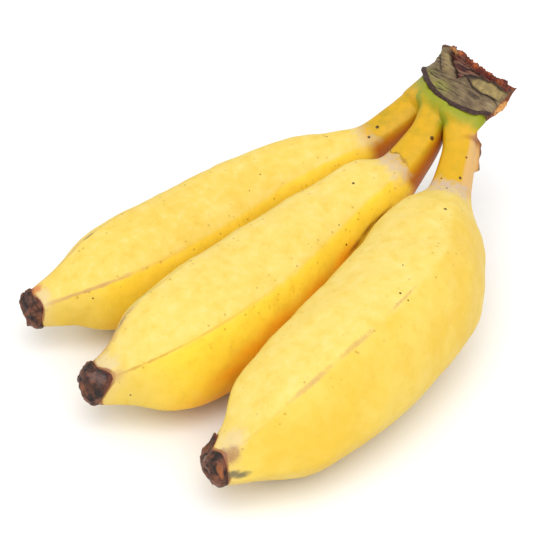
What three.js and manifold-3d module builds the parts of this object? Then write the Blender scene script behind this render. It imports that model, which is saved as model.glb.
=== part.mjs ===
// A hand of three short dessert bananas that grow out of one cut crown, lying on its rounded outer side.
// Lengths are millimetres. +X runs from the blossom tips to the crown and +Z is up. The bellies lie on z = 0.
import * as THREE from 'three';
import { mergeVertices } from 'three/addons/utils/BufferGeometryUtils.js';
import Module from 'manifold-3d';

const wasm = await Module();
wasm.setup();
const { lerp, smoothstep, degToRad } = THREE.MathUtils;

// Driving dimensions
const gap = 0.3; // clearance where one piece grows out of another
const footprintCentre = new THREE.Vector3(-0.5, -1, 0); // middle of the layout below, moved to the origin
const ridgeCount = 5; // ridges round a finger
const ridgeOnBody = 0.024; // ridge height over girth radius at the neck and belly
const ridgeAtTip = 0.075; // the same beside the dried blossom, where the fruit is most angular
const ridgeSharpness = 0.2; // share of a second wave that narrows the crests
const round = 2; // power of a round outline, higher is squarer
const rootPower = 3;
const rootSunk = 0.75; // share of its width that a root keeps inside the crown
const tipBulge = 0.08; // share by which the dried blossom swells halfway
const tipTaper = 0.12; // share by which its end draws in

// Station numbers along a spine
const rootStart = 0; // inside the crown
const rootFull = 0.8; // the root has its whole width from here
const neckSquare = 0.9; // the neck turns from its share of the crown
const neckRound = 2.2; // to a round stalk
const bellyStation = 7;
const shoulderStation = 10.3; // the ridges are highest from here on
const tipEnd = 11;

// The spine of each finger runs from inside the crown to the end of the dried blossom.
// A station holds x, y, z and the girth radius there.
// The root sizes are the share of the crown that the neck takes. The tip starts at a station number.
// The ridge angle is in degrees from the -Y side up.
const fingers = {
  left: {
    stations: [
      [66, 19.5, 45.5, 4.3],
      [60, 19.8, 42, 4.3],
      [53, 20, 37.5, 5.2],
      [41.5, 23.5, 32, 6],
      [33.5, 28.5, 27.7, 8.6],
      [24, 34, 23.3, 12],
      [9, 39, 18.4, 14.5],
      [-16, 40, 15.7, 16.2],
      [-39.5, 39.5, 16.2, 16],
      [-52.5, 40.5, 16.4, 13.2],
      [-61.5, 42.7, 15.9, 8.1],
      [-71, 47.5, 12.7, 4.4],
    ],
    rootHalfWidth: 4.4,
    rootHalfDepth: 5,
    firstRidge: 39,
    tipStart: 10.45,
    skin: '#f3cf4e',
  },
  middle: {
    stations: [
      [65, 12, 46.5, 4.2],
      [56.5, 10.3, 42, 4.2],
      [48.5, 7.5, 38, 5.6],
      [37, 6.5, 31.7, 7.2],
      [27.5, 8, 28, 11.3],
      [16.5, 8.8, 24.8, 12.9],
      [-0.5, 7.2, 21.4, 15.9],
      [-25, 3.7, 18.8, 18.6],
      [-47.5, 2, 18.2, 18.3],
      [-61.5, 3, 17.1, 15.1],
      [-70.5, 5.4, 15.6, 8.7],
      [-79.5, 10, 13, 4.2],
    ],
    rootHalfWidth: 4.4,
    rootHalfDepth: 5.6,
    firstRidge: 45,
    tipStart: 10.35,
    skin: '#f5d150',
  },
  right: {
    stations: [
      [64.5, 3.5, 47, 4.4],
      [57, 0.3, 42, 4.4],
      [50.5, -5, 37, 5.2],
      [40.5, -11.2, 31.2, 6.9],
      [31, -16, 27.3, 13.8],
      [21, -21.5, 24.2, 17.8],
      [6.5, -29.5, 21, 20.9],
      [-17, -36, 20.2, 20.5],
      [-39.5, -39.2, 18.8, 18.7],
      [-55, -40.5, 17, 15.6],
      [-66, -40.3, 15.2, 8.8],
      [-75.5, -37.8, 13.3, 4.8],
    ],
    rootHalfWidth: 4.8,
    rootHalfDepth: 5,
    firstRidge: 64,
    tipStart: 10.35,
    skin: '#f4d45c',
  },
};

// The crown is a short block. Its axes are along, out of the necks, across, to -Y, and out of its upper face.
const crown = {
  centre: new THREE.Vector3(60.5, 9.5, 43.5),
  rise: 26, // degrees by which it points up
  halfWidth: 15,
  halfDepth: 6.6,
  power: 3,
  front: -1.5, // where it starts along its axis
  frontMiddle: 3.5, // how far across the front starts first
  frontBow: 4.9, // how much later it starts half a width from there
  length: 13.3, // along its axis to the cut at the upper face
  cutSlant: 0.39, // how much later the cut comes for each millimetre below the upper face
  endCutAt: 13.9, // half width left at the right end, where the next finger was cut off
  endCutLean: 36, // degrees by which that cut undercuts the upper face
  collarHeight: 0.9, // raised scar line round the front
  collarAt: 0.8,
  collarWidth: 0.7,
  waist: 0.05, // share by which the dried block shrinks between scar and cut
  ragged: 0.5, // height of the waves along the cut
  waves: 7, // waves round the cut
};

// Facets of one finger, one tip and the crown
const fingerSides = 25;
const fingerRings = 36;
const tipRings = 6;
const crownSides = 40;
const crownRings = 12;

function bodyOf(geometry) {
  geometry.deleteAttribute('normal');
  geometry.deleteAttribute('uv');
  const merged = mergeVertices(geometry, 1e-4);
  const mesh = new wasm.Mesh({
    numProp: 3,
    vertProperties: new Float32Array(merged.attributes.position.array),
    triVerts: new Uint32Array(merged.index.array),
  });
  return new wasm.Manifold(mesh);
}

function geometryOf(body) {
  const mesh = body.getMesh();
  const geometry = new THREE.BufferGeometry();
  geometry.setAttribute('position', new THREE.BufferAttribute(mesh.vertProperties, 3));
  geometry.setIndex(new THREE.BufferAttribute(mesh.triVerts, 1));
  return geometry;
}

function superellipse(angle, halfWidth, halfDepth, power) {
  const across = Math.abs(Math.cos(angle) / halfWidth) ** power;
  const up = Math.abs(Math.sin(angle) / halfDepth) ** power;
  return (across + up) ** (-1 / power);
}

// Bends a capped unit cylinder: its height, angle and distance from the axis go to place().
function bend(sides, rings, place) {
  const geometry = new THREE.CylinderGeometry(1, 1, 1, sides, rings);
  const position = geometry.attributes.position;
  for (let i = 0; i < position.count; i++) {
    const x = position.getX(i);
    const z = position.getZ(i);
    const spot = place(position.getY(i) + 0.5, Math.atan2(z, x), Math.hypot(x, z));
    position.setXYZ(i, spot.x, spot.y, spot.z);
  }
  return geometry;
}

function spineOf(finger) {
  const points = finger.stations.map(([x, y, z]) => new THREE.Vector3(x, y, z));
  const girths = finger.stations.map((station) => new THREE.Vector3(station[3], 0, 0));
  const path = new THREE.CatmullRomCurve3(points, false, 'catmullrom', 0.5);
  const girth = new THREE.CatmullRomCurve3(girths, false, 'catmullrom', 0.5);
  const last = points.length - 1;
  return (station) => {
    const centre = path.getPoint(station / last);
    const ahead = path.getTangent(station / last);
    const side = new THREE.Vector3(0, 0, 1).cross(ahead).normalize();
    const top = ahead.clone().cross(side);
    return { centre, side, top, radius: girth.getPoint(station / last).x };
  };
}

// Five ridges run along the fruit. At the crown the round neck turns into its squarer share of the block.
function sectionRadius(finger, station, angle, radius) {
  const root = 1 - smoothstep(station, neckSquare, neckRound);
  const sunk = lerp(rootSunk, 1, smoothstep(station, rootStart, rootFull));
  const outline = sunk * superellipse(
    angle,
    lerp(radius, finger.rootHalfWidth, root),
    lerp(radius, finger.rootHalfDepth, root),
    lerp(round, rootPower, root),
  );
  const swing = ridgeCount * (angle - degToRad(finger.firstRidge));
  const crest = lerp(Math.cos(swing), Math.cos(2 * swing), ridgeSharpness);
  const height = lerp(ridgeOnBody, ridgeAtTip, smoothstep(station, bellyStation, shoulderStation));
  return outline * (1 + height * (1 - root) * crest);
}

// A stretch of the finger between two stations. The first ring of vertices starts on a ridge.
function sweep(finger, from, to, rings, scale) {
  const spine = spineOf(finger);
  const turn = degToRad(finger.firstRidge) - Math.PI / 2;
  return bend(fingerSides, rings, (height, angle, share) => {
    const station = lerp(to, from, height);
    const { centre, side, top, radius } = spine(station);
    const around = angle + turn;
    const reach = share * sectionRadius(finger, station, around, radius) * scale(1 - height);
    return centre
      .addScaledVector(side, reach * Math.cos(around))
      .addScaledVector(top, reach * Math.sin(around));
  });
}

function crownAxes() {
  const rise = degToRad(crown.rise);
  const along = new THREE.Vector3(Math.cos(rise), 0, Math.sin(rise));
  const across = new THREE.Vector3(0, -1, 0);
  return { along, across, out: across.clone().cross(along) };
}

function crownBlock(grow) {
  const { along, across, out } = crownAxes();
  const ringSpread = 1.7; // rings lie closer together at the scar line
  return bend(crownSides, crownRings, (height, angle, share) => {
    const t = height ** ringSpread;
    const edge = superellipse(angle, crown.halfWidth, crown.halfDepth, crown.power) * share;
    const fromMiddle = edge * Math.cos(angle) - crown.frontMiddle;
    const bow = crown.frontBow * (fromMiddle / crown.halfWidth) ** 2;
    const start = crown.front + bow - grow;
    const waves = crown.ragged * Math.sin(crown.waves * angle) * share;
    const end = crown.length + crown.cutSlant * (crown.halfDepth - edge * Math.sin(angle)) + waves;
    const u = lerp(start, end, t);
    const fromCollar = (u - start - crown.collarAt) / crown.collarWidth;
    const collar = crown.collarHeight * Math.exp(-(fromCollar ** 2));
    const reach = edge * (1 - crown.waist * Math.sin(Math.PI * t)) + (collar + grow) * share;
    return crown.centre.clone()
      .addScaledVector(along, u)
      .addScaledVector(across, reach * Math.cos(angle))
      .addScaledVector(out, reach * Math.sin(angle));
  });
}

// The knife that took the next finger off left a flat face at the right end.
function endKnife() {
  const { along, across, out } = crownAxes();
  const lean = degToRad(crown.endCutLean);
  const face = crown.centre.clone().addScaledVector(across, crown.endCutAt);
  const away = across.multiplyScalar(Math.cos(lean)).addScaledVector(out, -Math.sin(lean));
  const place = new THREE.Matrix4().makeBasis(away, along, away.clone().cross(along)).setPosition(face);
  const size = 60;
  return bodyOf(new THREE.BoxGeometry(size, size, size).translate(size / 2, 0, 0).applyMatrix4(place));
}

function namedMesh(name, geometry, color, roughness) {
  const mesh = new THREE.Mesh(geometry, new THREE.MeshStandardMaterial({ color, roughness, metalness: 0 }));
  mesh.name = name;
  return mesh;
}

const hand = new THREE.Group();
hand.position.copy(footprintCentre).negate();

// The bellies are pressed flat where they lie on the surface.
const tableWidth = 300;
const tableDepth = 20;
const tableBox = new THREE.BoxGeometry(tableWidth, tableWidth, tableDepth).translate(0, 0, -tableDepth / 2);
const table = bodyOf(tableBox);
const crownRoom = bodyOf(crownBlock(gap));
const evenGirth = () => 1;
const blossomGirth = (t) => 1 + tipBulge * Math.sin(Math.PI * t) - tipTaper * smoothstep(t, 0.8, 1);

for (const [place, finger] of Object.entries(fingers)) {
  const grown = bodyOf(sweep(finger, rootStart, finger.tipStart, fingerRings, evenGirth));
  const fruit = grown.subtract(crownRoom).subtract(table);
  hand.add(namedMesh(`banana_${place}`, geometryOf(fruit), finger.skin, 0.5));

  const { centre } = spineOf(finger)(finger.tipStart);
  const tipLength = centre.distanceTo(spineOf(finger)(tipEnd).centre);
  const start = finger.tipStart + (tipEnd - finger.tipStart) * gap / tipLength;
  const tip = bodyOf(sweep(finger, start, tipEnd, tipRings, blossomGirth));
  hand.add(namedMesh(`blossom_tip_${place}`, geometryOf(tip), '#4a3128', 0.85));
}
const crownBody = bodyOf(crownBlock(0)).subtract(endKnife());
hand.add(namedMesh('crown', geometryOf(crownBody), '#857a55', 0.85));

const part = new THREE.Group();
part.add(hand);
export default part;
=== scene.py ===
# A hand of three short dessert bananas that grow out of one cut crown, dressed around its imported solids.
import math

import bpy
import numpy as np
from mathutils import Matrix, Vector


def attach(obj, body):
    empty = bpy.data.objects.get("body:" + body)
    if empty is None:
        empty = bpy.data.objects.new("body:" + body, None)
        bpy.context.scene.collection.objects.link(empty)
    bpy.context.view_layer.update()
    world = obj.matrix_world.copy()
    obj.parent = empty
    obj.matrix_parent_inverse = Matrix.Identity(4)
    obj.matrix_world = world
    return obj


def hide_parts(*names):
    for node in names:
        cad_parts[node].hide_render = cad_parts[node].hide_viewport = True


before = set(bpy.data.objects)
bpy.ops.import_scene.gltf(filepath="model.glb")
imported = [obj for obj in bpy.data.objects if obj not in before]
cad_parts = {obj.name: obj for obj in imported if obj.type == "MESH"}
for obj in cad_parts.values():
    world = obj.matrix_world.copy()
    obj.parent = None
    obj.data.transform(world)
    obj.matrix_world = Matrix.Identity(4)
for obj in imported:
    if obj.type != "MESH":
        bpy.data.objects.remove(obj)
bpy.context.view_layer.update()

# Lengths are millimetres. The spines, the crown's block and its cuts are the solids' own.
MM = 0.001  # metres in a millimetre
FOOTPRINT_CENTRE = np.array([-0.5, -1.0, 0.0])  # moved to the origin

# Cross-section of a banana
RIDGE_COUNT = 5
RIDGE_ON_BODY = 0.042  # ridge height over girth radius, sharper than the solids'
RIDGE_AT_TIP = 0.075  # the same beside the dried blossom
CREST_DROP = 1.6  # how far the faces lie below the ridges, over the ridge height
CREST_ROUNDING = 0.12
ROUND = 2.0  # power of a round outline, higher is squarer
ROOT_POWER = 3.5
ROOT_SUNK = 0.75  # share of its width that a root keeps inside the crown

# Station numbers along a spine, counted from inside the crown
ROOT_FULL = 0.8  # the root has its whole width from here
NECK_SQUARE = 0.9  # the neck turns from its share of the crown
NECK_ROUND = 2.2  # to a round stalk
NECK_END = 3.2
BELLY_STATION = 7.0
SHOULDER_STATION = 10.3  # the ridges are highest from here on
PEEL_END = 10.8
TIP_END = 11.0
KNIFE_END = 1.25  # the knife that took the next finger off cut the root up to here
FIN_END = 2.25  # and tore the skin up to here

# Small forms of the peel
LUMP_HEIGHT = 0.16
FINE_LUMP_HEIGHT = 0.05
SHAVE_DEPTH = 1.3
FILL_HEIGHT = 1.0
TIP_RECESS = 2.5  # how deep the end of the peel hides inside the dried blossom
NOTCH_WIDTH = 0.32  # in radians round the dried blossom
FIN_WIDTH = 12  # in degrees round the neck
BELLY_SOFTNESS = 0.25  # how softly the bellies press flat

# Numbers of points along and round each piece
PEEL_RINGS = 400
PEEL_COLUMNS = 160
TIP_RINGS = 60
TIP_COLUMNS = 120
CROWN_RINGS = 150
CROWN_COLUMNS = 400
CUT_RINGS = 50

# A station holds x, y, z and the girth radius there. Angles are degrees from the -Y side up.
# The root stays square for longer, and reaches further, to the right.
# The dried tip starts at a station, earlier on top by its slant and in one point, later in a notch.
# A mark, a shaved or a filled patch holds its station, its angle, a half length and a half width.
# A speck holds its station, its angle and its width. The skin's shoulder is a station too.
MARKS = ("cream", "rust", "beige", "grey", "lime", "bounce_glow", "brown")
LEFT = {
    "stations": [
        (66, 19.5, 45.5, 4.3),
        (60, 19.8, 42, 4.3),
        (53, 20, 37.5, 5.2),
        (41.5, 23.5, 32, 6),
        (33.5, 28.5, 27.7, 8.6),
        (24, 34, 23.3, 12),
        (9, 39, 18.4, 14.5),
        (-16, 40, 15.7, 16.2),
        (-39.5, 39.5, 16.2, 16),
        (-52.5, 40.5, 16.4, 13.2),
        (-61.5, 42.7, 15.9, 8.1),
        (-71, 47.5, 12.7, 4.4),
    ],
    "root": {"half_width": 4.7, "half_depth": 5.0, "longer": 0.0, "further": 0.0},
    "first_ridge": 39,
    "shaved": [(0.75, 137, 5, 6)],
    "filled": [(2.1, 137, 10, 6)],
    "skin": {
        "painted_top_sheen": 0.35, "golden_bounce": 0.9, "scuff": 0.5, "scuff_width": 0.7,
        "scuff_colour": (208, 152, 98), "shoulder": 2.95, "scar": 0.45, "russet_and_shade": 1.0, "olive": 0.8,
        "cut_side_from": -90, "rust_colour": (216, 112, 56),
    },
    "tip": {
        "start": 10.66, "slant": 0.06, "point": 0.15, "point_angle": 40, "point_width": 0.6,
        "curl": 0.2, "curl_angle": 60, "dent": 0.3, "face_angle": 75, "face_at": 0.4,
        "highlight_face": 0.2, "brown_face": 0.1, "pale_fold": 0.0,
    },
    "marks": {
        "cream": [(10.4, 62, 2.5, 4)],
        "rust": [(10.45, 95, 2, 2)],
        "beige": [(9.3, 39, 10, 0.7)],
        "grey": [(8.7, 110, 3, 0.5)],
    },
    "specks": [
        (2.65, 74, 1.1), (2.92, 57, 0.9), (3.98, 95, 0.6), (5.89, 68, 0.5), (6.27, 57, 0.5),
        (9.41, 26, 0.6),
    ],
    "seed": 11,
}
MIDDLE = {
    "stations": [
        (65, 12, 46.5, 4.2),
        (56.5, 10.3, 42, 4.2),
        (48.5, 7.5, 38, 5.6),
        (37, 6.5, 31.7, 7.2),
        (27.5, 8, 28, 11.3),
        (16.5, 8.8, 24.8, 12.9),
        (-0.5, 7.2, 21.4, 15.9),
        (-25, 3.7, 18.8, 18.6),
        (-47.5, 2, 18.2, 18.3),
        (-61.5, 3, 17.1, 15.1),
        (-70.5, 5.4, 15.6, 8.7),
        (-79.5, 10, 13, 4.2),
    ],
    "root": {"half_width": 4.7, "half_depth": 5.6, "longer": 0.0, "further": 0.0},
    "first_ridge": 45,
    "shaved": [],
    "filled": [],
    "skin": {
        "painted_top_sheen": 0.6, "golden_bounce": 1.0, "scuff": 0.65, "scuff_width": 0.5,
        "scuff_colour": (206, 150, 48), "shoulder": 3.0, "scar": 0.8, "russet_and_shade": 1.0, "olive": 0.6,
        "cut_side_from": -90, "rust_colour": (158, 84, 62),
    },
    "tip": {
        "start": 10.6, "slant": 0.12, "point": 0.37, "point_angle": 45, "point_width": 0.55,
        "curl": 0.3, "curl_angle": 45, "dent": 0.4, "face_angle": 58, "face_at": 0.36,
        "highlight_face": 0.5, "brown_face": 0.0, "pale_fold": 0.0,
    },
    "marks": {
        "cream": [(10.3, 94, 3.5, 3), (10.18, 72, 4, 3)],
        "rust": [(10.25, 122, 4, 1.4)],
        "beige": [(9.7, 115, 12, 2), (10.12, 45, 3, 2)],
        "grey": [(9.2, 114, 4, 0.4)],
        "lime": [(8.6, 119, 7, 1.6)],
        # Painted orange bounce light where the middle banana faces the right one.
        "bounce_glow": [(5.9, 15, 9, 3), (6.6, 13, 11, 4), (7.2, 13, 11, 4), (7.6, 6, 10, 4), (7.95, -4, 8, 4)],
        # Brown specks with painted shade along where the middle banana touches the right one.
        "brown": [(4.5, 13, 6, 0.8), (5.05, 16, 6, 0.8), (5.55, 15, 5, 0.8)],
    },
    "specks": [
        (1.98, 44, 1.4), (4.52, 77, 0.9), (5.64, 49, 0.6), (5.73, 26, 0.8), (6.52, 38, 0.5),
        (9.94, -1, 0.6),
    ],
    "seed": 23,
}
RIGHT = {
    "stations": [
        (64.5, 3.5, 47, 4.4),
        (57, 0.3, 42, 4.4),
        (50.5, -5, 37, 5.2),
        (40.5, -11.2, 31.2, 6.9),
        (31, -16, 27.3, 13.8),
        (21, -21.5, 24.2, 17.8),
        (6.5, -29.5, 21, 20.9),
        (-17, -36, 20.2, 20.5),
        (-39.5, -39.2, 18.8, 18.7),
        (-55, -40.5, 17, 15.6),
        (-66, -40.3, 15.2, 8.8),
        (-75.5, -37.8, 13.3, 4.8),
    ],
    "root": {"half_width": 5.0, "half_depth": 5.0, "longer": 0.3, "further": 2.2},
    "first_ridge": 64,
    "shaved": [(6.2, -15, 25, 12)],
    "filled": [],
    "fin": {"angle": -8, "height": 1.7},
    "skin": {
        "painted_top_sheen": 0.65, "golden_bounce": 0.0, "scuff": 0.3, "scuff_width": 0.5,
        "scuff_colour": (206, 162, 88), "shoulder": 2.92, "scar": 0.95, "russet_and_shade": 0.2, "olive": 0.35,
        "cut_side_from": 62, "rust_colour": (156, 104, 80),
    },
    "tip": {
        "start": 10.65, "slant": 0.15, "point": 0.17, "point_angle": 130, "point_width": 0.35,
        "notch": 0.17, "notch_angle": 96, "curl": 0.9, "curl_angle": 130, "dent": 1.3,
        "face_angle": 28, "face_at": 0.5, "highlight_face": 0.0, "brown_face": 0.85, "pale_fold": 0.6,
    },
    "marks": {
        "cream": [(10.16, 82, 4.5, 4.5)],
        "rust": [(10.38, 56, 3, 3)],
        "beige": [(8.4, 64, 9, 1.0), (7.6, 64, 9, 0.9), (6.8, 65, 7, 0.7)],
        "grey": [(10.5, 12, 2.4, 1.5), (10.36, 7, 2.8, 1.1)],
        "brown": [(1.47, 24, 1.2, 4.2), (1.38, 6, 2.4, 3.2)],
    },
    "specks": [
        (2.11, 56, 0.7), (2.67, 61, 1.0), (2.77, 113, 0.6), (3.1, 86, 0.6), (4.29, 74, 1.0),
        (6.03, 73, 0.5), (6.37, 84, 0.5), (6.75, 70, 0.8), (6.76, 62, 0.7), (7.31, 111, 0.5),
    ],
    "seed": 37,
}
FINGERS = {"left": LEFT, "middle": MIDDLE, "right": RIGHT}

# The crown's axes are along, out of the necks, across, to -Y, and out of its upper face.
CROWN_CENTRE = np.array([60.5, 9.5, 43.5])
CROWN_RISE = math.radians(26)
CROWN_ALONG = np.array([math.cos(CROWN_RISE), 0.0, math.sin(CROWN_RISE)])
CROWN_ACROSS = np.array([0.0, -1.0, 0.0])
CROWN_OUT = np.cross(CROWN_ACROSS, CROWN_ALONG)
CROWN_HALF_WIDTH = 15.0
CROWN_HALF_DEPTH = 6.6
CROWN_POWER = 3.0
CROWN_FRONT = -1.5  # where it starts along its axis
CROWN_FRONT_MIDDLE = 3.5  # how far across the front starts first
CROWN_FRONT_BOW = 4.9  # how much later it starts half a width from there
CROWN_END_RISE = 2.0  # how much later still at the -Y end
CROWN_LENGTH = 13.3  # along its axis to the cut at the upper face
CROWN_CUT_SLANT = 0.39  # how much later the cut comes for each millimetre below the upper face
CROWN_WAIST = 0.05  # share by which the dried block shrinks between scar and cut
END_CUT_AT = 13.9  # half width left at the right end
END_CUT_LEAN = math.radians(36)
LEFT_END_NARROWING = 0.975
COLLAR_HEIGHT = 0.9
COLLAR_AT = 0.8
COLLAR_WIDTH = 0.7

# Small forms of the crown
FOLD_LOW_POINT = 7.2  # where the torn fold is nearest to the necks, along the crown's axis
FOLD_LEFT_END = 13.6
FOLD_RIGHT_STEP = 11.2
CRACK_AT = 7.2
SHRED_AT = 9.0
HOLLOW_DEPTH = 2.0  # behind the torn fold
GROOVE_DEPTH = 0.5
LOBE_HEIGHT = 0.7
FIBRE_HEIGHT = 0.12
RIND_LUMP_HEIGHT = 0.25
TUFT_HEIGHT = 2.0  # frayed skin left of the middle of the cut
CUT_BULGE = 0.5  # how far the cut face stands out behind its frayed edge
CUT_INSET = 0.8  # how far it lies back again inside that edge

# The skin between two necks, along the crown's axis
WEB_FULL = -3.0
WEB_END = -7.5
WEB_REACH = 12.0
WEB_SAMPLES = 90
WEB_ROUNDS = 6
WEB_STEP = 0.6  # share of what is missing that grows in one round


def lerp(start, end, share):
    return start + (end - start) * share


def smoothstep(value, low, high):
    """0 at low, 1 at high, smooth between. low may be the larger one."""
    share = np.clip((value - low) / (high - low), 0, 1)
    return share * share * (3 - 2 * share)


def bell(value, width):
    return np.exp(-((value / width) ** 2))


def wrapped(angle):
    return (angle + np.pi) % (2 * np.pi) - np.pi


def turned(angle, degrees):
    """How far an angle is turned from one given in degrees."""
    return wrapped(angle - math.radians(degrees))


def once_round(columns):
    """Angles from the lowest side once round."""
    return np.linspace(0, 2 * np.pi, columns, endpoint=False) - np.pi / 2


def superellipse(angle, half_width, half_depth, power):
    across = np.abs(np.cos(angle) / half_width) ** power
    up = np.abs(np.sin(angle) / half_depth) ** power
    return (across + up) ** (-1 / power)


def ripple(points, wavelength, seed, stretch=(1, 1, 1), waves=9):
    """Uneven lumps of about -1 to 1: plane waves in seeded directions, added up."""
    draw = np.random.default_rng(seed)
    total = np.zeros(points.shape[:-1])
    for _ in range(waves):
        direction = draw.normal(size=3)
        direction = direction / np.linalg.norm(direction) / np.array(stretch)
        length = wavelength * draw.uniform(0.6, 1.5)
        total += np.sin(points @ direction * (2 * np.pi / length) + draw.uniform(0, 2 * np.pi))
    return total / math.sqrt(waves)


def catmull_rom(knots, stations):
    """Values and slopes of a smooth curve through the knots, at fractional knot numbers."""
    knots = np.array(knots, float)
    padded = np.vstack([2 * knots[0] - knots[1], knots, 2 * knots[-1] - knots[-2]])
    first = np.clip(np.floor(stations).astype(int), 0, len(knots) - 2)
    t = (stations - first)[:, None]
    before, start, end, after = (padded[first + k] for k in range(4))
    slope_in = (end - before) / 2
    slope_out = (after - start) / 2
    square = 3 * (end - start) - 2 * slope_in - slope_out
    cube = 2 * (start - end) + slope_in + slope_out
    value = start + t * (slope_in + t * (square + t * cube))
    slope = slope_in + t * (2 * square + 3 * t * cube)
    return value, slope


def spine(finger, stations):
    """Centre, sideways and upward directions and girth radius at each station."""
    value, slope = catmull_rom(finger["stations"], stations)
    ahead = slope[:, :3] / np.linalg.norm(slope[:, :3], axis=1, keepdims=True)
    side = np.cross([0.0, 0.0, 1.0], ahead)
    side /= np.linalg.norm(side, axis=1, keepdims=True)
    return value[:, :3], side, np.cross(ahead, side), value[:, 3]


def section_radius(finger, station, angle, girth):
    """Distance of the peel from its spine: a square root, a round neck and a ridged body."""
    root = finger["root"]
    later = root["longer"] * np.maximum(np.cos(angle), 0)
    square = 1 - smoothstep(station - later, NECK_SQUARE, NECK_ROUND)
    further = root["further"] * (np.cos(angle) > 0) * smoothstep(station, 1.5, 1.2)
    sunk = lerp(ROOT_SUNK, 1, smoothstep(station, 0, ROOT_FULL))
    outline = sunk * superellipse(
        angle,
        lerp(girth, root["half_width"] + further, square),
        lerp(girth, root["half_depth"], square),
        lerp(ROUND, ROOT_POWER, square),
    )
    swing = RIDGE_COUNT * (angle - math.radians(finger["first_ridge"]))
    crest = 1 - CREST_DROP * np.sqrt(np.sin(swing / 2) ** 2 + CREST_ROUNDING**2)
    height = lerp(RIDGE_ON_BODY, RIDGE_AT_TIP, smoothstep(station, BELLY_STATION, SHOULDER_STATION))
    return outline * (1 + height * (1 - square) * crest)


def around(finger, stations, angles):
    """A grid of points on the peel, with the station and angle of each."""
    centre, side, top, girth = spine(finger, stations)
    station, angle = np.meshgrid(stations, angles, indexing="ij")
    radius = section_radius(finger, station, angle, girth[:, None])
    points = centre[:, None] + (radius * np.cos(angle))[..., None] * side[:, None]
    points = points + (radius * np.sin(angle))[..., None] * top[:, None]
    return station, angle, points


def settle(points):
    """Presses the bellies flat on the surface, with a soft edge."""
    height = points[..., 2]
    points[..., 2] = (height + np.sqrt(height**2 + BELLY_SOFTNESS**2)) / 2
    return points


def in_crown_axes(points):
    from_centre = points - CROWN_CENTRE
    return from_centre @ CROWN_ALONG, from_centre @ CROWN_ACROSS, from_centre @ CROWN_OUT


def from_crown_axes(along, across, out):
    return (
        CROWN_CENTRE
        + along[..., None] * CROWN_ALONG
        + across[..., None] * CROWN_ACROSS
        + out[..., None] * CROWN_OUT
    )


def crown_front(across):
    """Where the crown starts along its axis: a bow, steeper round the -Y end."""
    bow = ((across - CROWN_FRONT_MIDDLE) / CROWN_HALF_WIDTH) ** 2
    return CROWN_FRONT + CROWN_FRONT_BOW * bow + CROWN_END_RISE * smoothstep(across, 12, 15.2)


def beyond_knife(across, out):
    """Distance outside the knife's face at the crown's right end, less than 0 inside it."""
    return (across - END_CUT_AT) * math.cos(END_CUT_LEAN) - out * math.sin(END_CUT_LEAN)


def trim_end(across, out, allowed, share):
    """Cuts off what lies beyond the knife's face."""
    excess = np.maximum(beyond_knife(across, out) - allowed, 0) * share
    return across - excess * math.cos(END_CUT_LEAN), out + excess * math.sin(END_CUT_LEAN), excess


def new_object(name, data):
    made = bpy.data.objects.new(name, data)
    bpy.context.scene.collection.objects.link(made)
    return made


def closed_tube(name, rings, fields):
    """A closed mesh: rows of points along, columns round, and each end filled to a middle point."""
    rows, columns = rings.shape[:2]
    index = np.arange(rows * columns).reshape(rows, columns)
    following = np.roll(index, -1, axis=1)
    sides = np.stack([index[:-1], following[:-1], following[1:], index[1:]], axis=-1).reshape(-1, 4)
    first_middle = np.full(columns, rows * columns)
    last_middle = first_middle + 1
    first_cap = np.stack([following[0], index[0], first_middle], axis=-1)
    last_cap = np.stack([index[-1], following[-1], last_middle], axis=-1)
    vertices = np.vstack([rings.reshape(-1, 3), rings[0].mean(axis=0), rings[-1].mean(axis=0)])
    vertices = (vertices - FOOTPRINT_CENTRE) * MM
    mesh = bpy.data.meshes.new(name)
    mesh.from_pydata(vertices.tolist(), [], sides.tolist() + first_cap.tolist() + last_cap.tolist())
    for field, values in fields.items():
        flat = np.concatenate([values.ravel(), [values[0].mean(), values[-1].mean()]])
        mesh.attributes.new(field, "FLOAT", "POINT").data.foreach_set("value", flat.astype(np.float32))
    mesh.polygons.foreach_set("use_smooth", np.ones(len(mesh.polygons), bool))
    return new_object(name, mesh)


# Node materials
LIGHT_LEVEL = 1.36  # how much brighter than white a white surface looks
DISPLAY_GAMMA = 2.2


def rgb(red, green, blue):
    """The surface colour that looks like this in the studio. White is 255; shaded sides with painted
    bounce light may go past it.
    """
    return tuple((c / 255) ** DISPLAY_GAMMA / LIGHT_LEVEL for c in (red, green, blue)) + (1.0,)


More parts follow.
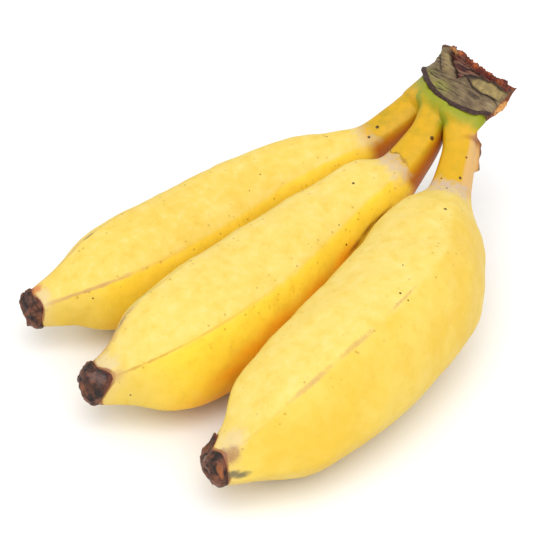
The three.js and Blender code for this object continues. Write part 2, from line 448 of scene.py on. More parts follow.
class Shade:
    """Short names for the nodes of one material, called s below."""

    def __init__(self, name, specular):
        self.material = bpy.data.materials.new(name)
        self.material.use_nodes = True
        self.tree = self.material.node_tree
        self.shader = self.tree.nodes["Principled BSDF"]
        self.shader.inputs["Specular IOR Level"].default_value = specular
        self.position = self.tree.nodes.new("ShaderNodeTexCoord").outputs["Object"]

    def wire(self, socket, value):
        if isinstance(value, bpy.types.NodeSocket):
            self.tree.links.new(value, socket)
        else:
            socket.default_value = value

    def field(self, name):
        node = self.tree.nodes.new("ShaderNodeAttribute")
        node.attribute_name = name
        return node.outputs["Fac"]

    def math(self, operation, first, second):
        node = self.tree.nodes.new("ShaderNodeMath")
        node.operation = operation
        self.wire(node.inputs[0], first)
        self.wire(node.inputs[1], second)
        return node.outputs[0]

    def plus(self, first, second):
        return self.math("ADD", first, second)

    def times(self, first, second):
        return self.math("MULTIPLY", first, second)

    def noise(self, size, detail=3.0, rough=0.55, vector=None):
        """Noise whose lumps are about size millimetres wide."""
        node = self.tree.nodes.new("ShaderNodeTexNoise")
        node.inputs["Scale"].default_value = 1 / (size * MM)
        node.inputs["Detail"].default_value = detail
        node.inputs["Roughness"].default_value = rough
        self.wire(node.inputs["Vector"], vector or self.position)
        return node.outputs["Fac"]

    def dots(self, spacing, width):
        """Small round dots scattered about spacing millimetres apart."""
        node = self.tree.nodes.new("ShaderNodeTexVoronoi")
        node.inputs["Scale"].default_value = 1 / (spacing * MM)
        self.wire(node.inputs["Vector"], self.position)
        return self.step(node.outputs["Distance"], 0.5 * width / spacing, 0.25 * width / spacing)

    def spot(self, centre, width):
        """1 inside a round spot on the surface."""
        node = self.tree.nodes.new("ShaderNodeVectorMath")
        node.operation = "DISTANCE"
        self.wire(node.inputs[0], self.position)
        node.inputs[1].default_value = centre
        return self.step(node.outputs["Value"], 0.62 * width * MM, 0.36 * width * MM)

    def combine(self, x, y, z):
        node = self.tree.nodes.new("ShaderNodeCombineXYZ")
        for socket, value in zip(node.inputs, (x, y, z)):
            self.wire(socket, value)
        return node.outputs[0]

    def step(self, value, low, high):
        """0 below low, 1 above high, smooth between. low may be the larger one."""
        node = self.tree.nodes.new("ShaderNodeMapRange")
        node.interpolation_type = "SMOOTHSTEP"
        falling = low > high
        self.wire(node.inputs["Value"], value)
        node.inputs["From Min"].default_value = min(low, high)
        node.inputs["From Max"].default_value = max(low, high)
        node.inputs["To Min"].default_value = float(falling)
        node.inputs["To Max"].default_value = float(not falling)
        return node.outputs["Result"]

    def band(self, value, start, full, fade, end):
        """1 between full and fade, falling smoothly to 0 at start and end."""
        return self.times(self.step(value, start, full), self.step(value, end, fade))

    def mix(self, share, first, second):
        node = self.tree.nodes.new("ShaderNodeMix")
        node.data_type = "RGBA"
        self.wire(node.inputs["Factor"], share)
        self.wire(node.inputs["A"], first)
        self.wire(node.inputs["B"], second)
        return node.outputs["Result"]

    def lay(self, colour, cover, strength, top):
        """Lays a second colour over the first where cover is 1."""
        return self.mix(self.times(cover, strength), colour, top)

    def finish(self, colour, roughness, bump, bump_depth):
        """bump_depth is in millimetres."""
        node = self.tree.nodes.new("ShaderNodeBump")
        node.inputs["Distance"].default_value = bump_depth * MM
        self.wire(node.inputs["Height"], bump)
        self.wire(self.shader.inputs["Base Color"], colour)
        self.wire(self.shader.inputs["Roughness"], roughness)
        self.wire(self.shader.inputs["Normal"], node.outputs["Normal"])
        return self.material


class Peel(Shade):
    """The skin of one banana, with the fields and noises that its layers share."""

    def __init__(self, name, skin):
        super().__init__(name, specular=0.3)
        self.skin = skin
        self.station = self.field("station")
        self.border = self.field("border")
        self.ridge = self.field("ridge")
        self.upward = self.field("upward")
        self.patches = self.noise(16, 3)
        self.mottle = self.noise(3.5, 4, 0.6)
        self.flecks = self.noise(1.6, 4, 0.65)
        self.grain = self.noise(0.7, 3, 0.6)
        self.uneven = self.plus(self.mottle, -0.5)


def ripe_body(s):
    """Ripe yellow, with a painted sheen that makes its upper face paler, and deep yellow on its right and
    lower sides that is partly its own colour and partly painted warm bounce light.
    """
    light, warm, sheen_cream = rgb(249, 213, 92), rgb(246, 202, 66), rgb(252, 224, 122)
    golden_bounce, deep_golden = rgb(274, 229, 66), rgb(272, 182, 20)
    mottled, blotch = rgb(246, 198, 62), rgb(254, 232, 148)
    top_face = s.field("top_face")
    colour = s.mix(s.step(s.patches, 0.36, 0.66), light, warm)
    # Painted sheen: the upper face and upward-facing skin are made paler, as light falls on them.
    pale = s.plus(s.times(top_face, 0.75), s.times(s.step(s.upward, 0.1, 0.95), 0.25))
    colour = s.lay(colour, pale, s.skin["painted_top_sheen"], sheen_cream)
    # The right side's deep yellow is partly the peel's own colour and partly painted warm bounce light;
    # the low side gets a deeper painted bounce.
    colour = s.lay(colour, s.field("golden_bounce_side"), s.skin["golden_bounce"], golden_bounce)
    colour = s.lay(colour, s.field("low_bounce_side"), s.skin["golden_bounce"], deep_golden)
    colour = s.lay(colour, s.step(s.mottle, 0.5, 0.72), 0.4, mottled)
    # Pale blotches, partly painted sheen, stronger on the upper face.
    blotches = s.times(s.step(s.mottle, 0.52, 0.24), s.plus(0.3, top_face))
    return s.lay(colour, blotches, 0.35, blotch)


def freckled(s, colour):
    """Freckles, most of them beside the ridges."""
    beside_ridge = s.plus(0.2, s.times(s.step(s.ridge, 6, 1), 0.8))
    seen = s.times(beside_ridge, s.step(s.upward, 0.1, 0.5))
    return s.lay(colour, s.times(s.dots(2.8, 1.0), seen), 0.5, rgb(176, 124, 40))


def scuffed(s, colour):
    """A worn line along the ridges of the belly."""
    width = s.skin["scuff_width"]
    worn = s.plus(s.ridge, s.times(s.uneven, 3 * width))
    line = s.step(worn, width, 0.2 * width)
    seen = s.times(s.step(s.station, 6.8, 9.2), s.step(s.upward, 0.1, 0.3))
    return s.lay(colour, s.times(line, seen), s.skin["scuff"], rgb(*s.skin["scuff_colour"]))


def necked(s, colour):
    """The neck, reddish brown on its lower side, partly its own colour and partly painted shade, with a
    pale, cracked scar ring at the shoulder.
    """
    amber, olive, russet_and_shade = rgb(232, 176, 14), rgb(186, 156, 22), rgb(198, 108, 30)
    cut_beige, scar, crack = rgb(236, 186, 116), rgb(214, 186, 160), rgb(120, 84, 48)
    shoulder = s.skin["shoulder"]
    wander = s.plus(s.station, s.times(s.plus(s.patches, -0.5), 0.35))
    neck = s.mix(s.times(s.step(s.mottle, 0.3, 0.8), s.skin["olive"]), amber, olive)
    # Partly reddish-brown skin and partly painted shade on the neck's lower side.
    neck = s.lay(neck, s.field("under"), s.skin["russet_and_shade"], russet_and_shade)
    neck = s.lay(neck, s.field("cut_side"), 0.9, cut_beige)
    colour = s.mix(s.step(wander, shoulder + 0.2, shoulder - 0.1), colour, neck)
    blotchy = s.plus(wander, s.times(s.uneven, 0.7))
    ring = s.band(blotchy, shoulder - 0.25, shoulder - 0.05, shoulder + 0.05, shoulder + 0.5)
    seen = s.times(s.step(s.upward, 0.2, 0.7), s.step(s.flecks, 0.2, 0.6))
    colour = s.lay(colour, s.times(ring, seen), s.skin["scar"], scar)
    cracked = s.band(blotchy, shoulder - 0.3, shoulder - 0.25, shoulder - 0.22, shoulder - 0.17)
    cracked = s.times(cracked, s.step(s.upward, 0.5, 0.8))
    cracked = s.times(cracked, s.step(s.patches, 0.45, 0.6))
    return s.lay(colour, cracked, 0.6, crack)


def green_rooted(s, colour):
    """Green where the necks grow together."""
    leafy = s.plus(s.field("green"), s.times(s.uneven, 0.3))
    return s.lay(colour, s.step(leafy, -0.1, 1.0), 0.95, rgb(146, 158, 34))


def blotchy_mark(s, colour, field, top, strength):
    """Lays a mark with blotchy edges over the colour."""
    edge = s.plus(s.field(field), s.times(s.plus(s.flecks, -0.5), 1.2))
    cover = s.times(s.step(edge, 0.1, 1.0), s.step(s.field(field), 0.0, 0.4))
    return s.lay(colour, cover, strength, top)


def rimmed(s, colour):
    """A pale zone and a reddish rim beside the dried blossom."""
    colour = s.lay(colour, s.step(s.border, 5.0, 0.5), 0.4, rgb(236, 206, 140))
    colour = blotchy_mark(s, colour, "cream", rgb(236, 212, 168), 0.6)
    ragged = s.plus(s.border, s.times(s.uneven, 2.0))
    return s.lay(colour, s.step(ragged, 0.8, 0.2), 0.8, rgb(140, 66, 42))


# Real blemishes and specks, and a painted orange bounce light between two bananas.
def blemishes_and_bounce_glow(s, colour, specks):
    colour = blotchy_mark(s, colour, "rust", rgb(*s.skin["rust_colour"]), 0.75)
    colour = blotchy_mark(s, colour, "beige", rgb(206, 160, 100), 0.6)
    colour = blotchy_mark(s, colour, "lime", rgb(214, 214, 126), 0.6)
    colour = blotchy_mark(s, colour, "grey", rgb(104, 98, 78), 0.85)
    # Painted orange bounce light between the middle and right bananas.
    colour = s.lay(colour, s.field("bounce_glow"), 0.75, rgb(282, 174, 26))
    for centre, width in specks:
        colour = s.lay(colour, s.spot(centre, width), 0.9, rgb(58, 24, 8))
    return colour


def torn_skin_and_contact_shade(s, colour):
    """Torn skin along the cut side of a neck, a brown torn flap, and brown specks with painted shade where
    two bananas touch.
    """
    flesh = s.mix(s.step(s.flecks, 0.4, 0.64), rgb(224, 162, 94), rgb(182, 112, 58))
    colour = s.mix(s.field("torn"), colour, flesh)
    colour = s.lay(colour, s.field("torn_edge"), 0.9, rgb(92, 52, 32))
    # Brown: the right neck's torn flap, and on the middle banana brown specks with painted shade where it
    # touches the right one.
    return s.lay(colour, s.field("brown"), 0.85, rgb(146, 72, 12))


def peel_material(name, skin, specks):
    s = Peel(name, skin)
    colour = ripe_body(s)
    colour = freckled(s, colour)
    colour = scuffed(s, colour)
    colour = necked(s, colour)
    colour = green_rooted(s, colour)
    colour = rimmed(s, colour)
    colour = blemishes_and_bounce_glow(s, colour, specks)
    colour = torn_skin_and_contact_shade(s, colour)
    roughness = s.plus(0.4, s.times(s.mottle, 0.2))
    bump = s.plus(s.times(s.mottle, 0.6), s.times(s.grain, 0.4))
    return s.finish(colour, roughness, bump, bump_depth=0.22)


def tip_material(name):
    s = Shade(name, specular=0.3)
    dark, brown = rgb(38, 24, 22), rgb(130, 79, 55)
    lumps = s.noise(3.0, 3, 0.5)
    grain = s.noise(0.6, 4, 0.65)
    colour = s.mix(s.step(lumps, 0.36, 0.64), dark, brown)
    # Painted highlight: a grey shine on one facet of the dried blossom.
    colour = s.mix(s.field("highlight_face"), colour, rgb(104, 93, 94))
    colour = s.mix(s.field("brown_face"), colour, rgb(178, 104, 58))
    colour = s.lay(colour, s.step(grain, 0.56, 0.68), 0.5, rgb(164, 116, 88))
    colour = s.lay(colour, s.step(grain, 0.44, 0.34), 0.6, rgb(24, 16, 16))
    colour = s.lay(colour, s.field("crease"), 0.85, rgb(32, 22, 20))
    colour = s.mix(s.field("pale_fold"), colour, rgb(160, 140, 126))
    colour = s.lay(colour, s.field("rim"), 0.75, rgb(104, 44, 34))
    roughness = s.plus(0.35, s.times(grain, 0.35))
    bump = s.plus(s.times(lumps, 0.5), s.times(grain, 0.5))
    return s.finish(colour, roughness, bump, bump_depth=0.35)


class Rind(Shade):
    """The dried crown, with the noises that its layers share."""

    def __init__(self, name):
        super().__init__(name, specular=0.35)
        across = self.times(self.field("across"), 0.1 * MM)
        along = self.times(self.field("along"), MM)
        grown_along = self.combine(along, across, 0.0)
        self.fibres = self.noise(0.55, 3, 0.6, grown_along)
        self.broad = self.noise(1.6, 2, 0.5, grown_along)
        self.grain = self.noise(0.8, 4, 0.6)


def fibrous_skin(s):
    """Grey brown skin with dark and pale fibres and patches of tan and green."""
    grey_brown, light_brown = rgb(114, 94, 70), rgb(144, 122, 88)
    dark_tan, light_tan = rgb(142, 121, 78), rgb(170, 148, 90)
    colour = s.mix(s.step(s.noise(5, 3, 0.5), 0.38, 0.62), grey_brown, light_brown)
    tan = s.mix(s.step(s.noise(2.2, 3, 0.5), 0.38, 0.62), dark_tan, light_tan)
    colour = s.mix(s.field("tan"), colour, tan)
    colour = s.mix(s.field("green"), colour, rgb(156, 156, 62))
    dark_lines = s.times(s.step(s.fibres, 0.5, 0.6), s.step(s.broad, 0.36, 0.56))
    dark_lines = s.times(dark_lines, s.step(s.field("tan"), 0.9, 0.2))
    colour = s.lay(colour, dark_lines, 0.9, rgb(58, 44, 36))
    return s.lay(colour, s.step(s.fibres, 0.43, 0.3), 0.5, rgb(186, 170, 126))


def folded(s, colour):
    """The hollow behind the torn fold, the painted shade beside it, painted shade in the grooves and the
    dark collar.
    """
    hollow = s.mix(s.step(s.fibres, 0.42, 0.58), rgb(150, 108, 86), rgb(58, 34, 34))
    hollow = s.lay(hollow, s.step(s.broad, 0.48, 0.58), 0.75, rgb(120, 44, 40))
    collar = s.mix(s.step(s.grain, 0.42, 0.66), rgb(56, 36, 33), rgb(88, 62, 54))
    colour = s.mix(s.field("hollow"), colour, hollow)
    colour = s.mix(s.field("shaded"), colour, rgb(84, 64, 46))
    # Painted shade in the grooves and along the torn fold's lip.
    colour = s.mix(s.field("groove"), colour, rgb(36, 24, 20))
    return s.mix(s.field("collar"), colour, collar)


def cut_behind(s, colour):
    """The torn face of the cut, reddish at its edge with a dry core."""
    torn = s.mix(s.step(s.noise(1.7, 3, 0.6), 0.4, 0.6), rgb(96, 36, 26), rgb(174, 84, 38))
    torn = s.lay(torn, s.step(s.grain, 0.5, 0.62), 0.75, rgb(64, 28, 24))
    dry_core = s.times(s.field("core"), s.step(s.noise(3.5, 3, 0.55), 0.38, 0.66))
    torn = s.lay(torn, dry_core, 0.75, rgb(156, 108, 68))
    torn = s.lay(torn, s.field("charred"), 0.8, rgb(58, 46, 40))
    return s.mix(s.field("cut"), colour, torn)


def cut_at_end(s, colour):
    """The knife's face at the right end, its brown edge and its shred of tissue."""
    pale_cut, brown_cut = rgb(206, 142, 80), rgb(148, 82, 46)
    sliced = s.mix(s.step(s.noise(2.4, 4, 0.6), 0.4, 0.62), pale_cut, brown_cut)
    sliced = s.lay(sliced, s.step(s.fibres, 0.5, 0.62), 0.6, rgb(110, 58, 36))
    tissue = s.mix(s.step(s.grain, 0.4, 0.65), rgb(238, 176, 104), rgb(214, 138, 62))
    colour = s.mix(s.field("sliced"), colour, sliced)
    colour = s.mix(s.field("knife_edge"), colour, rgb(122, 64, 34))
    return s.mix(s.field("tissue"), colour, tissue)


def crown_material(name):
    s = Rind(name)
    colour = fibrous_skin(s)
    colour = folded(s, colour)
    colour = cut_behind(s, colour)
    colour = cut_at_end(s, colour)
    roughness = s.plus(0.5, s.times(s.grain, 0.3))
    bump = s.plus(s.times(s.fibres, 0.7), s.times(s.grain, 0.4))
    return s.finish(colour, roughness, bump, bump_depth=0.5)


# Bananas
def tip_border(tip, angle):
    """Station where the dried blossom starts."""
    start = tip["start"] - tip["slant"] * np.sin(angle)
    start = start - tip["point"] * bell(turned(angle, tip["point_angle"]), tip["point_width"])
    if "notch" in tip:
        start = start + tip["notch"] * bell(turned(angle, tip["notch_angle"]), NOTCH_WIDTH)
    return start


def neighbouring_necks(place):
    """Centres and sizes along the necks of the other bananas."""
    stations = np.linspace(0, NECK_END, WEB_SAMPLES)
    square = 1 - smoothstep(stations, NECK_SQUARE, NECK_ROUND)
    necks = []
    for other, finger in FINGERS.items():
        if other != place:
            centre, _, _, girth = spine(finger, stations)
            half_size = (finger["root"]["half_width"] + finger["root"]["half_depth"]) / 2
            necks.append((centre, lerp(girth, half_size, square)))
    return necks


def web(place, points, outward):
    """How far a root swells to meet its neighbours in a rounded crotch."""
    along, across, _ = in_crown_axes(points)
    reach = lerp(0.5, WEB_REACH, smoothstep(along, WEB_END, WEB_FULL))
    in_front = smoothstep(along - crown_front(across), 1.0, -0.5)
    necks = neighbouring_necks(place)
    swelling = np.zeros(along.shape)
    for _ in range(WEB_ROUNDS):
        grown = points + outward * swelling[..., None]
        target = np.zeros(along.shape)
        for centre, size in necks:
            spread = np.min(np.linalg.norm(grown[:, :, None] - centre, axis=-1) - size, axis=-1)
            close = np.clip(1 - np.abs(spread - swelling) / reach, 0, 1)
            target = np.maximum(target, reach / 4 * close**2)
        swelling = lerp(swelling, target, WEB_STEP)
    return swelling * in_front


def torn_fin(finger, station, angle):
    """Height of the torn skin that stands along the cut side of a neck."""
    if "fin" not in finger:
        return np.zeros(station.shape)
    from_fin = np.degrees(turned(angle, finger["fin"]["angle"]))
    length = smoothstep(station, KNIFE_END, 1.5) * smoothstep(station, FIN_END, 2.15)
    notched = 1 - 0.35 * bell(station - 1.95, 0.12) + 0.06 * np.sin(station * 23)
    return finger["fin"]["height"] * bell(from_fin, FIN_WIDTH) * length * notched


def patches_of(patches, station, angle, travelled, radius):
    """Soft patches on the peel, 1 in the middle of each."""
    total = np.zeros(station.shape)
    for at, around_at, half_length, half_width in patches:
        along = travelled[:, None] - np.interp(at, station[:, 0], travelled)
        across = radius * turned(angle, around_at)
        far = np.hypot(along / half_length, across / half_width)
        total = np.maximum(total, smoothstep(far, 1.5, 0.0))
    return total


def on_peel(finger, station, angle):
    """A point of the peel in metres, in the object's frame."""
    _, _, point = around(finger, np.array([station]), np.array([math.radians(angle)]))
    return (point[0, 0] - FOOTPRINT_CENTRE) * MM


def peel_shape(place, finger):
    """Points of a peel, their places on it, their way to the dried tip and the height of the fin."""
    seed = finger["seed"]
    stations = np.linspace(0, PEEL_END, PEEL_RINGS)
    angles = once_round(PEEL_COLUMNS)
    station, angle, points = around(finger, stations, angles)
    centre = spine(finger, stations)[0]
    outward = points - centre[:, None]
    radius = np.linalg.norm(outward, axis=-1)
    outward /= radius[..., None]
    travelled = np.concatenate([[0], np.cumsum(np.linalg.norm(np.diff(centre, axis=0), axis=1))])
    spots = (station, angle, travelled, radius)
    border = np.interp(tip_border(finger["tip"], angle), stations, travelled) - travelled[:, None]
    fin = torn_fin(finger, station, angle)
    lumps = LUMP_HEIGHT * ripple(points, 14, seed) + FINE_LUMP_HEIGHT * ripple(points, 5, seed + 1)
    grow = lumps * smoothstep(station, 2.0, 4.0) + fin - TIP_RECESS * smoothstep(border, -0.3, -2.5)
    grow = grow - SHAVE_DEPTH * patches_of(finger["shaved"], *spots)
    grow = grow + FILL_HEIGHT * patches_of(finger["filled"], *spots)
    near = stations < NECK_END
    grow[near] += web(place, points[near], outward[near])
    return points + outward * grow[..., None], spots, border, fin


def body_fields(finger, station, angle, radius):
    """Where the faces and ridges of the body lie, and where painted bounce light falls on its shaded
    sides.
    """
    from_first = turned(angle, finger["first_ridge"])
    spacing = 2 * np.pi / RIDGE_COUNT
    from_ridge = np.abs((from_first + spacing / 2) % spacing - spacing / 2)
    degrees = np.degrees(wrapped(angle))
    before_next = smoothstep(from_first, spacing + 0.3, spacing - 0.1)
    low = smoothstep(degrees, 5, -30) * smoothstep(degrees, -90, -60)
    return {
        "station": station,
        "upward": np.sin(angle),
        "ridge": from_ridge * radius,
        "top_face": smoothstep(from_first, -0.06, 0.06) * before_next,
        "golden_bounce_side": smoothstep(from_first, 0.05, -0.07) * smoothstep(station, 10.0, 8.5),
        "low_bounce_side": low * smoothstep(station, 9.6, 8),
    }


def neck_fields(finger, station, angle, before_crown):
    """Where the neck is green and cut, and reddish brown on its lower side, partly with painted shade."""
    degrees = np.degrees(wrapped(angle))
    cut_from = finger["skin"]["cut_side_from"]
    facing = smoothstep(degrees, cut_from, cut_from - 15)
    green_root = 0.85 * smoothstep(before_crown, 6.6, 0.8)
    green_crotch = 0.9 * smoothstep(before_crown, 8.5, 4) * smoothstep(np.abs(np.cos(angle)), 0.3, 0.8)
    return {
        "green": np.maximum(green_root, green_crotch),
        # The lower side, partly reddish brown and partly painted shade.
        "under": smoothstep(np.cos(angle + math.radians(22)), 0.35, 0.9),
        "cut_side": facing * smoothstep(degrees, -75, -45) * smoothstep(station, KNIFE_END, 1.45),
    }


def make_banana(place, finger):
    points, spots, border, fin = peel_shape(place, finger)
    station, angle, _, radius = spots

    along, across, out = in_crown_axes(points)
    across, out, sliced = trim_end(across, out, 0.0, smoothstep(station, 1.45, KNIFE_END))
    points = settle(from_crown_axes(along, across, out))

    fields = body_fields(finger, station, angle, radius)
    fields.update(neck_fields(finger, station, angle, crown_front(across) - along))
    fields["border"] = border
    fields["torn"] = np.maximum(0.45 * smoothstep(fin, 0.3, 0.8), smoothstep(sliced, 0, 0.3))
    fields["torn_edge"] = smoothstep(fin, 1.0, 1.35)
    for mark in MARKS:
        fields[mark] = patches_of(finger["marks"].get(mark, []), *spots)
    piece = closed_tube(f"peel_{place}", points, fields)
    specks = [(on_peel(finger, *spot), width) for *spot, width in finger["specks"]]
    piece.data.materials.append(peel_material(f"peel_{place}", finger["skin"], specks))
    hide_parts(f"banana_{place}")
    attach(piece, "root")


# Dried blossom tips
# Each ring of the dimpled end holds its share of the size and how far ahead it lies
END_RINGS = ((0.92, 0.3), (0.8, 0.45), (0.62, 0.3), (0.42, -0.2), (0.2, -0.6))


def tip_cap(finger, share, angles):
    """The plain cap of a dried blossom: its points, their outward directions and its way ahead."""
    unit_ring = np.stack([np.cos(angles), np.sin(angles), 0 * angles], axis=-1)
    starts = tip_border(finger["tip"], angles) + 0.015 * ripple(unit_ring, 1.2, finger["seed"])
    station = lerp(starts[None, :], TIP_END, share)
    angle = np.broadcast_to(angles, station.shape)
    along_spine = spine(finger, station.ravel())
    centre, side, top, girth = (values.reshape(*station.shape, -1) for values in along_spine)
    outward = np.cos(angle)[..., None] * side + np.sin(angle)[..., None] * top
    radius = section_radius(finger, station, angle, girth[..., 0])
    swell = 1 + 0.06 * np.sin(np.pi * share) - 0.16 * smoothstep(share, 0.7, 1)
    lip = 0.35 * smoothstep(share, 0, 0.1) - 0.1
    drawn_in = 0.14 * share * np.maximum(-np.sin(angle), 0)
    radius = radius * (swell - drawn_in) + lip
    ahead = np.cross(side[-1, 0], top[-1, 0])
    return centre + outward * radius[..., None], outward, ahead


def dimpled_end(last, ahead, seed):
    """Rings that close a dried blossom with a dimpled scar."""
    middle = last.mean(axis=0)
    rings = []
    for shrink, depth in END_RINGS:
        ring = middle + (last - middle) * shrink + ahead * depth
        rings.append(ring + ahead * (0.25 * ripple(ring, 3.5, seed + 8))[:, None])
    return np.stack(rings)


def make_tip(place, finger, material):
    tip = finger["tip"]
    seed = finger["seed"]
    share = np.linspace(0, 1, TIP_RINGS)[:, None]
    angles = once_round(TIP_COLUMNS)
    points, outward, ahead = tip_cap(finger, share, angles)

    # Shrunken facets, a few dark creases and a curled remnant of the flower
    facets = 0.4 * ripple(points, 8, seed + 7)
    crease = bell(ripple(points, 13, seed + 5), 0.12)
    fine = 0.08 * ripple(points, 1.8, seed + 6)
    from_curl = turned(angles, tip["curl_angle"])
    curl = tip["curl"] * bell(from_curl, 0.22) * bell(share - 0.1, 0.3)
    dent = tip["dent"] * bell(from_curl + 0.35, 0.45) * bell(share - 0.5, 0.28)
    # A facet with a painted grey highlight, ringed by dark creases.
    from_face = turned(angles, tip["face_angle"])
    face = np.hypot(from_face / 0.45, (share - tip["face_at"]) / 0.28) + 0.25 * ripple(points, 3, seed + 9)
    around_face = 1.6 * tip["highlight_face"] * smoothstep(face, 2.4, 1.4) * smoothstep(face, 0.6, 1.2)
    fade = smoothstep(share, 0.0, 0.2)
    points = points + outward * ((facets - 0.3 * crease + fine - dent) * fade + curl)[..., None]
    points = np.concatenate([points, dimpled_end(points[-1], ahead, seed)])

    def with_end(values):
        """Values on the cap, and 0 on its dimpled end."""
        on_cap = np.broadcast_to(values, (TIP_RINGS, TIP_COLUMNS))
        return np.concatenate([on_cap, np.zeros((len(END_RINGS), TIP_COLUMNS))])

    fields = {
        "rim": with_end(1 - smoothstep(share, 0, 0.16)),
        "crease": with_end(np.maximum(crease, around_face) * fade),
        "highlight_face": with_end(tip["highlight_face"] * smoothstep(face, 1, 0.4)),
        "brown_face": with_end(tip["brown_face"] * smoothstep(face, 1, 0.5)),
        "pale_fold": with_end(tip["pale_fold"] * bell(from_curl + 0.55, 0.1) * fade),
    }
    piece = closed_tube(f"blossom_{place}", points, fields)
    piece.data.materials.append(material)
    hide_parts(f"blossom_tip_{place}")
    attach(piece, "root")


# Crown
def crown_fold(across):
    """Where the torn fold lies along the crown: a V whose low point is near the middle."""
    left = lerp(FOLD_LOW_POINT, FOLD_LEFT_END, np.clip(-across / 9.8, 0, 1))
    right = lerp(FOLD_LOW_POINT, FOLD_RIGHT_STEP, np.clip(across / 3.0, 0, 1) ** 0.6)
    right = right + 0.15 * np.maximum(across - 5, 0)
    wobble = 0.15 * np.sin(across * 1.3) + 0.1 * np.sin(across * 3.1 + 1)
    return np.where(across < 0, left, right) + wobble


def crown_marks(along, across, start, end, upper):
    """Where the crown's collar, torn fold, grooves and patches lie."""
    # The torn fold, which hangs over on the right of its low point. The dark line along its lip is painted
    # shadow of that overhang.
    fold = crown_fold(across)
    fold_span = upper * smoothstep(across, -11, -9)
    inside = smoothstep(along - fold, -0.3, 0.7) * fold_span
    overhang = smoothstep(across, -0.5, 1.5) * (1 - 0.45 * smoothstep(across, 5, 8))
    fold_line = bell(along - fold + lerp(-0.3, 0.6, overhang), lerp(0.35, 0.85, overhang)) * fold_span

    # A curved crack on the right, and a slanted crease with a swollen lobe on the left
    crack = CRACK_AT + 0.05 * (across - 9) ** 2 + 0.1 * np.sin(across * 1.7)
    crack_line = bell(along - crack, 0.28) * upper * smoothstep(across, 1.5, 3)
    left_crease = bell(across + 8.2 + 0.97 * (along - 7.5), 0.45) * smoothstep(along, 6.8, 8) * upper
    lobe = bell(across + 6.4 + 1.1 * (along - 9), 2.2) * smoothstep(along, 6, 8.5)
    return {
        "collar": bell(along - start - COLLAR_AT, COLLAR_WIDTH),
        "inside_fold": inside,
        "hollow": inside * smoothstep(end - along, 0.0, 2.0),
        "shaded": bell(along - fold + 1.0, 1.6) * bell(across - 2.8, 3.2) * upper,
        # Grooves, darkened as painted shade.
        "groove": np.maximum(np.maximum(fold_line, crack_line), left_crease),
        "tan": smoothstep(along - crack, 0, 0.8) * smoothstep(across, 3, 6) * (1 - inside) * upper,
        "lobe": lobe * (1 - inside) * upper,
    }


def crown_relief(angles, edge, share, along, marks):
    """Across and out of the rind, with its collar, fibres, grooves and lumps."""
    grid = np.stack(np.broadcast_arrays(along, edge * np.cos(angles), edge * np.sin(angles)), axis=-1)
    fibre = FIBRE_HEIGHT * ripple(grid, 1.1, 5, stretch=(1, 9, 9), waves=16)
    lumps = RIND_LUMP_HEIGHT * ripple(grid, 6, 8)
    reach = edge * (1 - CROWN_WAIST * np.sin(np.pi * share))
    reach = reach + COLLAR_HEIGHT * marks["collar"] + fibre * (1 - marks["collar"]) * (1 - marks["tan"])
    reach = reach - GROOVE_DEPTH * marks["groove"] + lumps + LOBE_HEIGHT * marks["lobe"]
    narrow = np.where(np.cos(angles) < 0, LEFT_END_NARROWING, 1)
    across = reach * np.cos(angles) * narrow
    out = reach * np.sin(angles) - HOLLOW_DEPTH * marks["hollow"]
    return across, out


def plain_cut(out):
    """Where the slanted cut comes along the crown's axis."""
    return CROWN_LENGTH + CROWN_CUT_SLANT * (CROWN_HALF_DEPTH - out)


def cut_face(edge_across, edge_out, tuft):
    """The rough face behind, in rings from its edge inward, and its core."""
    share = np.linspace(1, 0.04, CUT_RINGS + 1)[1:, None]
    across = edge_across * share
    out = edge_out * share
    grid = np.stack([across, out, 0 * out], axis=-1)
    rough = 0.35 * ripple(grid, 2.0, 21) + 0.2 * ripple(grid, 0.9, 22)
    inset = CUT_INSET * smoothstep(1 - share, 0, 0.12) - tuft * smoothstep(share, 0.6, 1)
    along = plain_cut(out) + rough - inset + CUT_BULGE
    core = np.broadcast_to(smoothstep(1 - share, 0.1, 0.45), along.shape)
    return along, across, out, core


def with_cut(values, on_cut=0.0):
    """Values on the rind, followed by one value on the cut face."""
    on_rind = np.broadcast_to(values, (CROWN_RINGS, CROWN_COLUMNS))
    return np.concatenate([on_rind, np.full((CUT_RINGS, CROWN_COLUMNS), on_cut)])


def rind_fields(marks, along, across, end, upper):
    """Where the rind is folded, grooved and darkened with painted shade, green, tan and torn."""
    green = bell(along - 2.4, 2.2) * bell(across + 3.5, 4.0) * upper
    olive = bell(along - 4.0, 2.5) * bell(across + 10, 3.5) * upper
    return {
        "hollow": with_cut(marks["inside_fold"]),
        "groove": with_cut(0.95 * marks["groove"]),
        "shaded": with_cut(0.85 * marks["shaded"]),
        "green": with_cut(np.maximum(0.75 * green, 0.5 * olive)),
        "tan": with_cut(np.maximum(marks["tan"], 0.5 * marks["lobe"])),
        "cut": with_cut(smoothstep(end - along, 1.0, 0.4), 1.0),
        "charred": with_cut(smoothstep(across, -9.6, -11) * upper),
    }


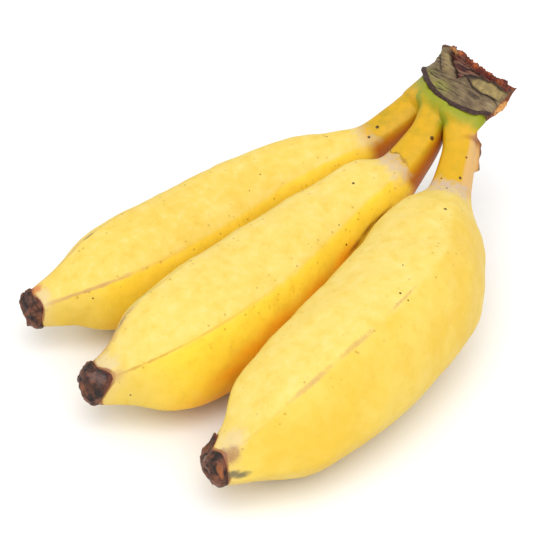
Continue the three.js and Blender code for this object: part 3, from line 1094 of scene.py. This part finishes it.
def make_crown():
    angles = once_round(CROWN_COLUMNS)[::-1]
    share = np.linspace(0, 1, CROWN_RINGS)[:, None]
    edge = superellipse(angles, CROWN_HALF_WIDTH, CROWN_HALF_DEPTH, CROWN_POWER)[None, :]
    across = edge * np.cos(angles)
    out = edge * np.sin(angles)
    upper = smoothstep(out, 1.0, 4.0)
    tuft = TUFT_HEIGHT * bell(across + 8, 9) * smoothstep(across, -15, -11) * upper
    rim = np.stack([across, out, 0 * out], axis=-1)
    frayed = 0.45 * ripple(rim, 3.2, 3) + 0.25 * ripple(rim, 1.3, 4)
    start = crown_front(across)
    end = plain_cut(out) + frayed + tuft
    along = lerp(start, end, share**1.4)
    marks = crown_marks(along, across, start, end, upper)
    across, out = crown_relief(angles, edge, share, along, marks)
    cut_along, cut_across, cut_out, core = cut_face(across[-1:], out[-1:], tuft)
    along = np.concatenate([along, cut_along])
    across = np.concatenate([across, cut_across])
    out = np.concatenate([out, cut_out])

    # The knife's face at the right end, with a shred of tissue left on it
    grid = np.stack([along, across, out], axis=-1)
    shred = bell(along - SHRED_AT, 3.3) * bell(out + 1.0, 2.0) * (1.7 + 0.5 * ripple(grid, 2.0, 9))
    knife_edge = smoothstep(beyond_knife(across, out), -0.8, -0.2)
    across, out, excess = trim_end(across, out, np.maximum(shred, 0), 1.0)
    sliced = smoothstep(excess, 0, 0.25)

    rind_along = along[:CROWN_RINGS]
    rind_across = across[:CROWN_RINGS]
    shred_tissue = smoothstep(shred, 0.4, 1.0) * (across > 8) * smoothstep(knife_edge, 0.5, 1)
    pale_tuft = smoothstep(end - rind_along, 1.0, 0.3) * bell(rind_across + 8.3, 2.0) * upper
    fields = rind_fields(marks, rind_along, rind_across, end, upper)
    fields["along"] = along
    fields["across"] = across
    fields["collar"] = with_cut(smoothstep(marks["collar"], 0.15, 0.4)) * (1 - sliced)
    fields["core"] = np.concatenate([np.zeros((CROWN_RINGS, CROWN_COLUMNS)), core])
    fields["sliced"] = sliced
    fields["knife_edge"] = knife_edge * (1 - smoothstep(excess, 0.3, 0.8))
    fields["tissue"] = np.maximum(shred_tissue, with_cut(0.7 * pale_tuft))
    piece = closed_tube("crown_rind", from_crown_axes(along, across, out), fields)
    piece.data.materials.append(crown_material("crown_rind"))
    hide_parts("crown")
    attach(piece, "root")


# Studio
VIEW_TARGET = Vector((5.5, 26, 0)) * MM
VIEW_DISTANCE = 650 * MM
VIEW_AZIMUTH = math.radians(-42)
VIEW_ELEVATION = math.radians(38)
LENS = 140.4
SENSOR_WIDTH = 36
FLOOR_HALF_WIDTH = 4.0  # in metres
SKY_STRENGTH = 1.0
KEY_OFFSET = Vector((-0.36, -0.46, 0.98))  # in metres from the view's target
KEY_WIDTH = 1.2  # in metres
KEY_POWER = 8.8  # in watts


def make_camera():
    towards = Vector((
        math.sin(VIEW_AZIMUTH) * math.cos(VIEW_ELEVATION),
        -math.cos(VIEW_AZIMUTH) * math.cos(VIEW_ELEVATION),
        math.sin(VIEW_ELEVATION),
    ))
    data = bpy.data.cameras.new("camera")
    data.lens = LENS
    data.sensor_width = SENSOR_WIDTH
    data.clip_start = 0.01
    camera = new_object("camera", data)
    camera.location = VIEW_TARGET + towards * VIEW_DISTANCE
    camera.rotation_euler = (-towards).to_track_quat("-Z", "Y").to_euler()
    bpy.context.scene.camera = camera


def floor_material(name):
    s = Shade(name, specular=0.2)
    cloud = s.noise(60, 2)
    colour = s.mix(s.step(cloud, 0.3, 0.7), (0.84, 0.84, 0.84, 1), (0.86, 0.86, 0.86, 1))
    return s.finish(colour, 0.7, cloud, bump_depth=0.0)


def make_floor():
    half = FLOOR_HALF_WIDTH
    corners = [(-half, -half, 0), (half, -half, 0), (half, half, 0), (-half, half, 0)]
    mesh = bpy.data.meshes.new("floor")
    mesh.from_pydata(corners, [], [(0, 1, 2, 3)])
    floor = new_object("floor", mesh)
    mesh.materials.append(floor_material("floor"))


def make_lights():
    world = bpy.data.worlds.new("studio")
    bpy.context.scene.world = world
    world.use_nodes = True
    sky = world.node_tree.nodes["Background"]
    sky.inputs["Color"].default_value = (1.0, 1.0, 1.0, 1.0)
    sky.inputs["Strength"].default_value = SKY_STRENGTH
    lamp = bpy.data.lights.new("key", "AREA")
    lamp.shape = "DISK"
    lamp.size = KEY_WIDTH
    lamp.energy = KEY_POWER
    key = new_object("key", lamp)
    key.location = VIEW_TARGET + KEY_OFFSET
    key.rotation_euler = (VIEW_TARGET - key.location).to_track_quat("-Z", "Y").to_euler()
    bpy.context.scene.view_settings.view_transform = "Standard"


blossom = tip_material("dried_blossom")
for place, finger in FINGERS.items():
    make_banana(place, finger)
    make_tip(place, finger, blossom)
make_crown()
make_camera()
make_floor()
make_lights()
